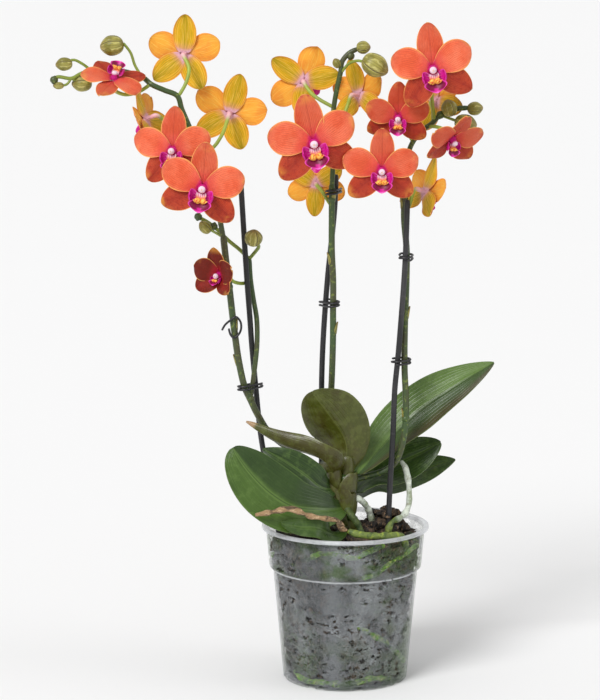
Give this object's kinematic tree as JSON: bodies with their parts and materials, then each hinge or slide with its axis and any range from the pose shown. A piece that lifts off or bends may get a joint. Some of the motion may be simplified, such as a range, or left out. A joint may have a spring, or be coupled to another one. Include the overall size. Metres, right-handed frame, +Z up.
{
  "type": "potted moth orchid in a clear nursery pot",
  "caption": "Moth orchid with salmon-orange blooms on arching staked spikes, broad strap leaves and aerial roots, growing in bark in a clear stepped nursery pot.",
  "frame": {"origin": "centre of the pot's flat base, on the surface that it stands on", "axes": "+Z up along the pot, -Y towards the side that the picture looks at, +X to its right"},
  "size_m": [0.3168, 0.12, 0.4748],
  "materials": {
    "pot_plastic": "clear, slightly lilac, thin moulded plastic",
    "bark": "rough dark bark pieces",
    "crown_skin": "satin olive green stem skin",
    "leaf": "glossy dark green upper side",
    "leaf_back": "satin olive brown underside",
    "stem": "satin dark green stem, paler at the flower stalks",
    "stake_cane": "matt charcoal coated cane",
    "clip_wire": "dark satin coated wire",
    "dry_root": "matt tan dried root",
    "green_root": "satin ribbed green root",
    "silver_root": "matt silvery root skin",
    "petal": "soft satin salmon orange with a yellow rim",
    "lip": "satin magenta with a yellow centre"
  },
  "bodies": {
    "root": {"pot": "pot_plastic", "bark_mix": "bark", "crown": "crown_skin", "root_dry": "dry_root", "root_green": "green_root", "root_silver": "silver_root", "leaf_right_long": "leaf", "leaf_right_middle": "leaf", "leaf_right_low": "leaf", "leaf_left_inner": "leaf", "leaf_left_broad": "leaf", "leaf_small_front": "leaf", "leaf_upright": "leaf_back", "leaf_channel_left": "leaf_back", "spike_left": "stem", "spike_middle": "stem", "spike_right": "stem", "stake_left": "stake_cane", "stake_middle": "stake_cane", "stake_right": "stake_cane", "clip_left_low": "clip_wire", "clip_left_hook": "clip_wire", "clip_middle_low": "clip_wire", "clip_middle_top": "clip_wire", "clip_right_low": "clip_wire", "clip_right_top": "clip_wire", "bloom_01": "petal", "bloom_02": "petal", "bloom_03": "petal", "bloom_04": "petal", "bloom_05": "petal", "bloom_06": "petal", "bloom_07": "petal", "bloom_08": "petal", "bloom_09": "petal", "bloom_10": "petal", "bloom_11": "petal", "bloom_12": "petal", "bloom_13": "petal", "bloom_14": "petal", "bloom_15": "petal", "bloom_16": "petal", "bloom_17": "petal", "lip_01": "lip", "lip_02": "lip", "lip_03": "lip", "lip_04": "lip", "lip_05": "lip", "lip_06": "lip", "lip_07": "lip", "lip_08": "lip", "lip_09": "lip", "lip_10": "lip", "lip_11": "lip", "lip_12": "lip", "lip_13": "lip", "lip_14": "lip", "lip_15": "lip", "lip_16": "lip", "lip_17": "lip"}
  },
  "joints": []
}
